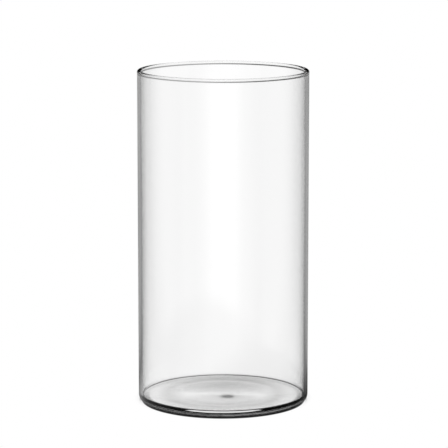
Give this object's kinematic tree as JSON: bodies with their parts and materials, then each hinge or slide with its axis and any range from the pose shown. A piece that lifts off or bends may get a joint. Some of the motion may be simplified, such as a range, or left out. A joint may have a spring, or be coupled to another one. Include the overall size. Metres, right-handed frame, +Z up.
{
  "type": "cylinder vase",
  "caption": "Straight-sided clear glass cylinder vase with a thin wall, a fire-polished lip, a rounded heel and a pushed-up foot; it holds flowers, water or a candle.",
  "frame": {"origin": "centre of the foot, on the surface that the vase stands on", "axes": "+Z up along the vase's axis, out of the mouth; +X and +Y are free, because the vase is round"},
  "size_m": [0.1022, 0.1022, 0.2],
  "materials": {
    "clear_glass": "clear, smooth, fire-polished"
  },
  "bodies": {
    "root": {"vase_body": "clear_glass"}
  },
  "joints": []
}
